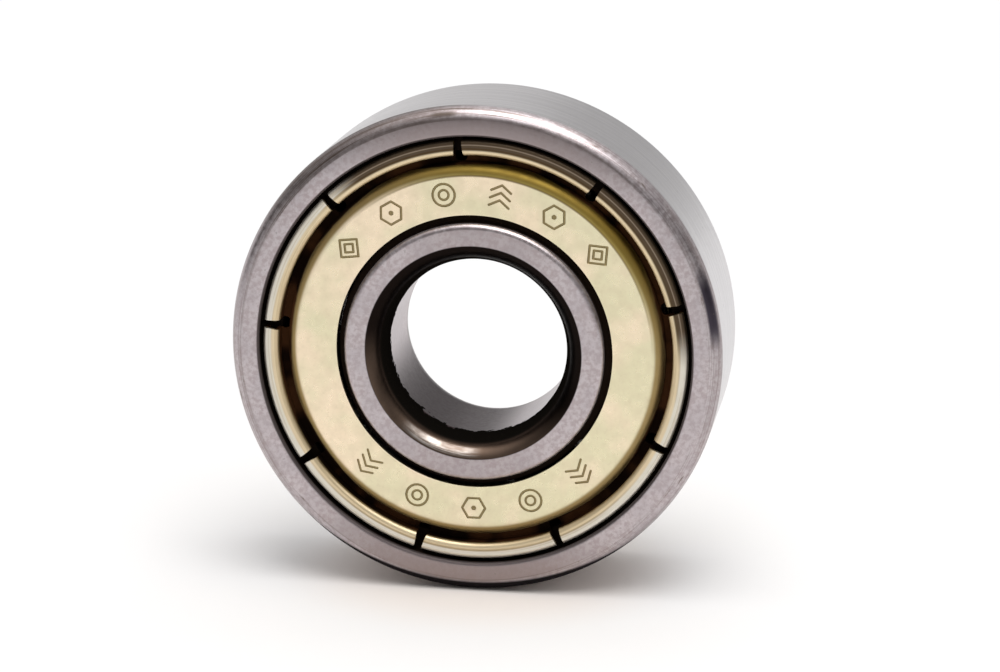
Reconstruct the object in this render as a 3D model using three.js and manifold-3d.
// Shielded deep-groove ball bearing, 8 mm bore x 22 mm outside x 7 mm wide, in millimetres, +Z up.
// The bearing stands on its rim. Its axis is Y, its front face looks towards -Y, and the origin is its
// centre. An outer ring carries a pressed shield on each side. Between the rings run seven balls in a
// riveted two-piece ribbon cage. The rings, shields and rivets are turned shapes. Slots, pockets and rivet
// holes are boolean cuts.
import * as THREE from "three";
import { mergeVertices } from "three/addons/utils/BufferGeometryUtils.js";
import Module from "manifold-3d";

const wasm = await Module();
wasm.setup();

// Standard envelope.
const HALF_WIDTH = 3.5;
const OUTSIDE_RADIUS = 11;
const BORE_RADIUS = 4;

// Ball set and raceways.
const BALL_COUNT = 7;
const BALL_RADIUS = 3.969 / 2;
const PITCH_RADIUS = 7.5;
const RACE_GAP = 0.04; // between a ball and each raceway
const GROOVE_RADIUS = 1.04 * BALL_RADIUS; // raceway curvature, a little wider than the ball

// Outer ring.
const RIM_ROUND = 0.6; // rounding between each face and the outside
const OUTER_LAND_RADIUS = 8.88; // either side of the raceway
const SEAT_FLOOR = 2.25; // where the shield seat starts, from the mid-plane
const SEAT_GROOVE_RADIUS = 9.86; // undercut that holds the foot of the shield's rim
const SEAT_GROOVE_END = 2.98;
const SEAT_LIP_RADIUS = 9.68; // mouth of the seat, and inner edge of the ring's face
const SEAT_LIP_START = 3.16;
const LIP_ROUND = 0.16; // rounding between the mouth and the face

// Inner ring.
const INNER_LAND_RADIUS = 6.15;
const STEP_RADIUS = 5.83; // beside each shield's edge, where the ring is stepped down
const STEP_START = 2.7;
const STEP_SLOPE = 0.1;
const INNER_RIM_ROUND = 0.28;
const BORE_MOUTH_RADIUS = 4.85; // inner edge of the ring's face
const BORE_MOUTH_DEPTH = 1.6; // how far the rounded lead-in runs into the bore

// Shields, measured on the centre line of the rear one's sheet. The front one is the same, turned round.
const SHEET = 0.2;
const SHIELD_INNER_RADIUS = 6.18;
const DISC_PLANE = 3.14; // the flat disc, from the mid-plane
const SHOULDER_START = 7.95; // where the disc rolls back towards the balls
const VALLEY_INNER_RADIUS = 8.35; // the two walls of the channel round the disc
const VALLEY_OUTER_RADIUS = 8.92;
const VALLEY_PLANE = 2.42; // floor of the channel
const CREST_PLANE = 3.23; // top of the rim, which is folded over
const FOLD_RADIUS = 9.42; // outer wall of the folded rim
const FOOT_RADIUS = 9.78; // end of the rim, flared out into the undercut
const FOOT_PLANE = 2.52;
const BEND = 0.13;
const SLOT_COUNT = 9;
const SLOT_ANGLE = 14.3; // first slot of the front shield, in degrees from +X towards +Z
const REAR_TURN = -10; // turns the rear shield, in degrees, so that no two reliefs stand in line
const SLOT_WIDTH = 0.36;
const RELIEF_RADIUS = 8.72; // centre of the round relief at the root of each slot
const RELIEF_SIZE = 0.28;

// Cage and rivets.
const CAGE_SHEET = 0.3;
const CAGE_INNER_RADIUS = 6.6;
const CAGE_OUTER_RADIUS = 8.3;
const CAGE_SPLIT = 0.02; // from the mid-plane to each half's joint face
const POCKET_GAP = 0.07;
const TRIM = 0.5; // material beyond the band before it is trimmed to size
const RIVET_RADIUS = 0.32;
const RIVET_HEAD_RADIUS = 0.62;
const RIVET_HEAD_HEIGHT = 0.28;
const RIVET_FIT = 0.03; // all round the shank, and under each head

// Fineness of the shapes.
const WELD = 1e-4; // points closer than this are one point
const TURN_STEPS = 44; // a multiple of four, so that the outside measures the same across X and Z
const GROOVE_STEPS = 4; // half of each raceway
const RIM_STEPS = 3;
const LIP_STEPS = 2;
const MOUTH_STEPS = 4;
const BALL_STEPS = 16;
const POCKET_STEPS = 16;
const RIVET_STEPS = 10; // also the slot reliefs

const ringSteel = new THREE.MeshStandardMaterial({ color: 0xa39a9c, roughness: 0.35, metalness: 1 });
const ballSteel = new THREE.MeshStandardMaterial({ color: 0xc9cacc, roughness: 0.08, metalness: 1 });
const cageSteel = new THREE.MeshStandardMaterial({ color: 0x9a938a, roughness: 0.4, metalness: 1 });
const rivetSteel = new THREE.MeshStandardMaterial({ color: 0xb5b2ad, roughness: 0.35, metalness: 1 });
const yellowPlate = new THREE.MeshStandardMaterial({ color: 0xdfcf98, roughness: 0.3, metalness: 1 });

// Profiles are lists of [radius, axial place] points.

// Points on an arc about [radius, place], with angles in degrees from the outward radius towards +Y.
function arc(radius, place, size, from, to, steps) {
  return Array.from({ length: steps + 1 }, (_, i) => {
    const angle = THREE.MathUtils.degToRad(from + ((to - from) * i) / steps);
    return [radius + size * Math.cos(angle), place + size * Math.sin(angle)];
  });
}

// Points on a quarter ellipse about [radius, place], from its end along Y to its end along the radius.
function quarterEllipse(radius, place, width, height, steps) {
  return Array.from({ length: steps + 1 }, (_, i) => {
    const angle = (Math.PI / 2) * (i / steps);
    return [radius + width * Math.sin(angle), place + height * Math.cos(angle)];
  });
}

// A half profile behind the mid-plane, followed by its mirror image in front of it.
function mirrored(half) {
  const front = half.filter(([, y]) => y > 0).map(([r, y]) => [r, -y]);
  return [...half, ...front.reverse()];
}

// A solid of revolution about Y from a closed profile, taken anticlockwise so that it faces outwards.
function turned(profile) {
  const points = profile.map(([r, y]) => new THREE.Vector2(r, y));
  if (THREE.ShapeUtils.isClockWise(points)) points.reverse();
  return new THREE.LatheGeometry([...points, points[0].clone()], TURN_STEPS);
}

// The closed profile of a sheet of even thickness along a centre line.
function sheetProfile(centreLine, thickness) {
  const points = centreLine.map(([r, y]) => new THREE.Vector2(r, y));
  const normals = points.map((point, i) => {
    const before = points[Math.max(i - 1, 0)];
    const after = points[Math.min(i + 1, points.length - 1)];
    const along = after.clone().sub(before).normalize();
    return new THREE.Vector2(-along.y, along.x).multiplyScalar(thickness / 2);
  });
  const upper = points.map((point, i) => [point.x + normals[i].x, point.y + normals[i].y]);
  const lower = points.map((point, i) => [point.x - normals[i].x, point.y - normals[i].y]);
  return [...lower, ...upper.reverse()];
}

// A closed geometry as a solid that can be cut and joined.
function solid(geometry, matrix = new THREE.Matrix4()) {
  const bare = geometry.clone().applyMatrix4(matrix);
  bare.deleteAttribute("normal");
  bare.deleteAttribute("uv");
  const merged = mergeVertices(bare, WELD);
  const mesh = new wasm.Mesh({
    numProp: 3,
    vertProperties: new Float32Array(merged.attributes.position.array),
    triVerts: new Uint32Array(merged.index.array),
  });
  return new wasm.Manifold(mesh);
}

function geometryOf(shape) {
  const mesh = shape.getMesh();
  const geometry = new THREE.BufferGeometry();
  geometry.setAttribute("position", new THREE.BufferAttribute(mesh.vertProperties, 3));
  geometry.setIndex(new THREE.BufferAttribute(mesh.triVerts, 1));
  geometry.computeVertexNormals();
  return geometry;
}

// A point on a circle about the axis, with its angle in degrees from +X towards +Z.
function onCircle(radius, degrees) {
  const angle = THREE.MathUtils.degToRad(degrees);
  return new THREE.Vector3(radius * Math.cos(angle), 0, radius * Math.sin(angle));
}

// The angle of a ball, or of the rivet after it for a half-way index.
function pitchAngle(index) {
  return 90 + (360 / BALL_COUNT) * index;
}

// Carries a shape from the origin to a place on a circle, with its X side pointing outwards.
function atRadius(radius, degrees, plane = 0) {
  const turn = new THREE.Matrix4().makeRotationY(-THREE.MathUtils.degToRad(degrees));
  return turn.multiply(new THREE.Matrix4().makeTranslation(radius, plane, 0));
}

function washer(innerRadius, outerRadius, low, high) {
  return turned([
    [innerRadius, low],
    [outerRadius, low],
    [outerRadius, high],
    [innerRadius, high],
  ]);
}

function outerRing() {
  const grooveCentre = PITCH_RADIUS + BALL_RADIUS + RACE_GAP - GROOVE_RADIUS;
  const grooveEnd = THREE.MathUtils.radToDeg(
    Math.acos((OUTER_LAND_RADIUS - grooveCentre) / GROOVE_RADIUS),
  );
  const half = [
    ...arc(grooveCentre, 0, GROOVE_RADIUS, 0, grooveEnd, GROOVE_STEPS),
    [OUTER_LAND_RADIUS, SEAT_FLOOR],
    [SEAT_GROOVE_RADIUS, SEAT_FLOOR],
    [SEAT_GROOVE_RADIUS, SEAT_GROOVE_END],
    [SEAT_LIP_RADIUS, SEAT_LIP_START],
    ...arc(SEAT_LIP_RADIUS + LIP_ROUND, HALF_WIDTH - LIP_ROUND, LIP_ROUND, 180, 90, LIP_STEPS),
    ...arc(OUTSIDE_RADIUS - RIM_ROUND, HALF_WIDTH - RIM_ROUND, RIM_ROUND, 90, 0, RIM_STEPS),
  ];
  return turned(mirrored(half));
}

function innerRing() {
  const grooveCentre = PITCH_RADIUS - BALL_RADIUS - RACE_GAP + GROOVE_RADIUS;
  const grooveEnd = THREE.MathUtils.radToDeg(
    Math.acos((grooveCentre - INNER_LAND_RADIUS) / GROOVE_RADIUS),
  );
  const corner = STEP_RADIUS - INNER_RIM_ROUND;
  const mouthWidth = BORE_MOUTH_RADIUS - BORE_RADIUS;
  const mouthStart = HALF_WIDTH - BORE_MOUTH_DEPTH;
  const half = [
    ...arc(grooveCentre, 0, GROOVE_RADIUS, 180, 180 - grooveEnd, GROOVE_STEPS),
    [INNER_LAND_RADIUS, STEP_START],
    [STEP_RADIUS, STEP_START + STEP_SLOPE],
    ...arc(corner, HALF_WIDTH - INNER_RIM_ROUND, INNER_RIM_ROUND, 0, 90, RIM_STEPS),
    ...quarterEllipse(BORE_MOUTH_RADIUS, mouthStart, -mouthWidth, BORE_MOUTH_DEPTH, MOUTH_STEPS),
  ];
  return turned(mirrored(half));
}

// The rear shield: a disc, a channel round it and a folded rim whose foot sits in the outer ring's undercut.
// Slots split the rim into tabs, so that it can be crimped. The first slot is at an angle in degrees.
function shield(firstSlot) {
  const centreLine = [
    [SHIELD_INNER_RADIUS, DISC_PLANE],
    [SHOULDER_START, DISC_PLANE],
    [VALLEY_INNER_RADIUS - BEND, DISC_PLANE - BEND],
    [VALLEY_INNER_RADIUS, VALLEY_PLANE + BEND],
    [VALLEY_INNER_RADIUS + BEND, VALLEY_PLANE],
    [VALLEY_OUTER_RADIUS - BEND, VALLEY_PLANE],
    [VALLEY_OUTER_RADIUS, VALLEY_PLANE + BEND],
    [VALLEY_OUTER_RADIUS, CREST_PLANE - BEND],
    [VALLEY_OUTER_RADIUS + BEND, CREST_PLANE],
    [FOLD_RADIUS - BEND, CREST_PLANE],
    [FOLD_RADIUS, CREST_PLANE - BEND],
    [FOLD_RADIUS, FOOT_PLANE + BEND],
    [FOOT_RADIUS, FOOT_PLANE],
  ];
  const slotLength = OUTSIDE_RADIUS - RELIEF_RADIUS;
  const slot = new THREE.BoxGeometry(slotLength, HALF_WIDTH, SLOT_WIDTH);
  const relief = new THREE.CylinderGeometry(RELIEF_SIZE, RELIEF_SIZE, HALF_WIDTH, RIVET_STEPS);
  let shape = solid(turned(sheetProfile(centreLine, SHEET)));
  for (let i = 0; i < SLOT_COUNT; i++) {
    const degrees = firstSlot + (360 / SLOT_COUNT) * i;
    shape = shape.subtract(solid(slot, atRadius(RELIEF_RADIUS + slotLength / 2, degrees, DISC_PLANE)));
    shape = shape.subtract(solid(relief, atRadius(RELIEF_RADIUS, degrees, DISC_PLANE)));
  }
  return geometryOf(shape);
}

// The rear half of the ribbon cage: a flat ring pressed into a cup over each ball, with a rivet hole between.
function cageHalf() {
  const cupRadius = BALL_RADIUS + POCKET_GAP;
  const holeRadius = RIVET_RADIUS + RIVET_FIT;
  const cup = new THREE.SphereGeometry(cupRadius + CAGE_SHEET, POCKET_STEPS, POCKET_STEPS / 2);
  const hollow = new THREE.SphereGeometry(cupRadius, POCKET_STEPS, POCKET_STEPS / 2);
  const hole = new THREE.CylinderGeometry(holeRadius, holeRadius, HALF_WIDTH, RIVET_STEPS);
  const inner = CAGE_INNER_RADIUS - TRIM;
  const outer = CAGE_OUTER_RADIUS + TRIM;
  let shape = solid(washer(inner, outer, -TRIM, CAGE_SPLIT + CAGE_SHEET));
  for (let i = 0; i < BALL_COUNT; i++) {
    shape = shape.add(solid(cup, atRadius(PITCH_RADIUS, pitchAngle(i))));
  }
  for (let i = 0; i < BALL_COUNT; i++) {
    shape = shape.subtract(solid(hollow, atRadius(PITCH_RADIUS, pitchAngle(i))));
    shape = shape.subtract(solid(hole, atRadius(PITCH_RADIUS, pitchAngle(i + 0.5))));
  }
  const room = solid(washer(CAGE_INNER_RADIUS, CAGE_OUTER_RADIUS, CAGE_SPLIT, HALF_WIDTH));
  return geometryOf(shape.intersect(room));
}

// A formed rivet: a shank through both cage halves with a domed head on each side.
function rivet() {
  const under = CAGE_SPLIT + CAGE_SHEET + RIVET_FIT;
  const half = [
    ...quarterEllipse(0, under, RIVET_HEAD_RADIUS, RIVET_HEAD_HEIGHT, RIM_STEPS),
    [RIVET_RADIUS, under],
  ];
  const points = mirrored(half).map(([r, y]) => new THREE.Vector2(r, y));
  return new THREE.LatheGeometry(points.reverse(), RIVET_STEPS);
}

function ball() {
  return new THREE.SphereGeometry(BALL_RADIUS, BALL_STEPS, BALL_STEPS / 2);
}

function named(name, geometry, material) {
  const mesh = new THREE.Mesh(geometry, material);
  mesh.name = name;
  return mesh;
}

// A group turned half way round the vertical, which carries a rear piece to the front.
function turnedRound(mesh) {
  const group = new THREE.Group();
  group.rotation.z = Math.PI;
  group.add(mesh);
  return group;
}

const bearing = new THREE.Group();
bearing.add(named("outer_ring", outerRing(), ringSteel));
bearing.add(named("inner_ring", innerRing(), ringSteel));
bearing.add(named("rear_shield", shield(180 - SLOT_ANGLE + REAR_TURN), yellowPlate));
bearing.add(turnedRound(named("front_shield", shield(180 - SLOT_ANGLE), yellowPlate)));

// The ball set and cage turn together, so they share a group.
const ballSet = new THREE.Group();
ballSet.add(named("cage_rear", cageHalf(), cageSteel));
ballSet.add(turnedRound(named("cage_front", cageHalf(), cageSteel)));
for (let i = 0; i < BALL_COUNT; i++) {
  const mesh = named(`ball_${i + 1}`, ball(), ballSteel);
  mesh.position.copy(onCircle(PITCH_RADIUS, pitchAngle(i)));
  ballSet.add(mesh);
}
for (let i = 0; i < BALL_COUNT; i++) {
  const mesh = named(`rivet_${i + 1}`, rivet(), rivetSteel);
  mesh.position.copy(onCircle(PITCH_RADIUS, pitchAngle(i + 0.5)));
  ballSet.add(mesh);
}
bearing.add(ballSet);

export default bearing;
